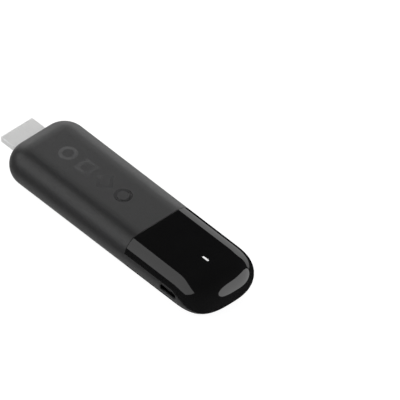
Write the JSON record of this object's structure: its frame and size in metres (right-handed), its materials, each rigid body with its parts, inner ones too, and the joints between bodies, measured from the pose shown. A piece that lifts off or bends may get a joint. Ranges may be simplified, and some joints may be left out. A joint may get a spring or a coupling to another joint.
{
  "type": "streaming media player",
  "caption": "Pocket-size media stick with a television plug on one end, a power port in its side, a matte sleeve and a polished tip with a small status light.",
  "frame": {"origin": "centre of the bounding box's footprint, on the surface that the stick lies on", "axes": "+X along the stick from the television plug to the polished tip, +Z out of the front face"},
  "size_m": [0.1066, 0.03, 0.014],
  "materials": {
    "matte_housing": "fine spark-eroded matte texture, charcoal black",
    "gloss_cover": "polished piano black",
    "light_diffuser": "milky white translucent",
    "plug_steel": "nickel plated, satin",
    "tinned_steel": "tin plated sheet",
    "black_insulator": "moulded, satin",
    "contact_gold": "gold flash on copper alloy",
    "board_laminate": "green solder mask over laminate",
    "chip_resin": "moulded epoxy",
    "silicone_pad": "soft filled silicone",
    "heat_plate": "rolled sheet",
    "ferrite": "sintered ferrite, dark grey",
    "ceramic": "fired ceramic, tan"
  },
  "bodies": {
    "root": {"capacitor_1": "ceramic", "capacitor_2": "ceramic", "capacitor_3": "ceramic", "capacitor_4": "ceramic", "crystal": "tinned_steel", "flash_chip": "chip_resin", "front_gloss_cover": "gloss_cover", "front_heat_spreader": "heat_plate", "front_pad": "silicone_pad", "hdmi_contact_01": "contact_gold", "hdmi_contact_02": "contact_gold", "hdmi_contact_03": "contact_gold", "hdmi_contact_04": "contact_gold", "hdmi_contact_05": "contact_gold", "hdmi_contact_06": "contact_gold", "hdmi_contact_07": "contact_gold", "hdmi_contact_08": "contact_gold", "hdmi_contact_09": "contact_gold", "hdmi_contact_10": "contact_gold", "hdmi_contact_11": "contact_gold", "hdmi_contact_12": "contact_gold", "hdmi_contact_13": "contact_gold", "hdmi_contact_14": "contact_gold", "hdmi_contact_15": "contact_gold", "hdmi_contact_16": "contact_gold", "hdmi_contact_17": "contact_gold", "hdmi_contact_18": "contact_gold", "hdmi_contact_19": "contact_gold", "hdmi_insulator": "black_insulator", "hdmi_plug_shell": "plug_steel", "inductor_1": "ferrite", "inductor_2": "ferrite", "led_chip": "light_diffuser", "led_light_pipe": "light_diffuser", "main_board": "board_laminate", "main_housing": "matte_housing", "memory_chip_1": "chip_resin", "memory_chip_2": "chip_resin", "power_chip": "chip_resin", "processor_chip": "chip_resin", "processor_pad": "silicone_pad", "rear_gloss_cover": "gloss_cover", "rear_heat_spreader": "heat_plate", "rear_pad": "silicone_pad", "rear_shield_can": "tinned_steel", "shield_fence": "tinned_steel", "shield_lid": "tinned_steel", "side_antenna": "tinned_steel", "tip_antenna": "tinned_steel", "usb_contact_1": "contact_gold", "usb_contact_2": "contact_gold", "usb_contact_3": "contact_gold", "usb_contact_4": "contact_gold", "usb_contact_5": "contact_gold", "usb_port_shell": "tinned_steel", "usb_tongue": "black_insulator", "wireless_module_can": "tinned_steel"}
  },
  "joints": []
}
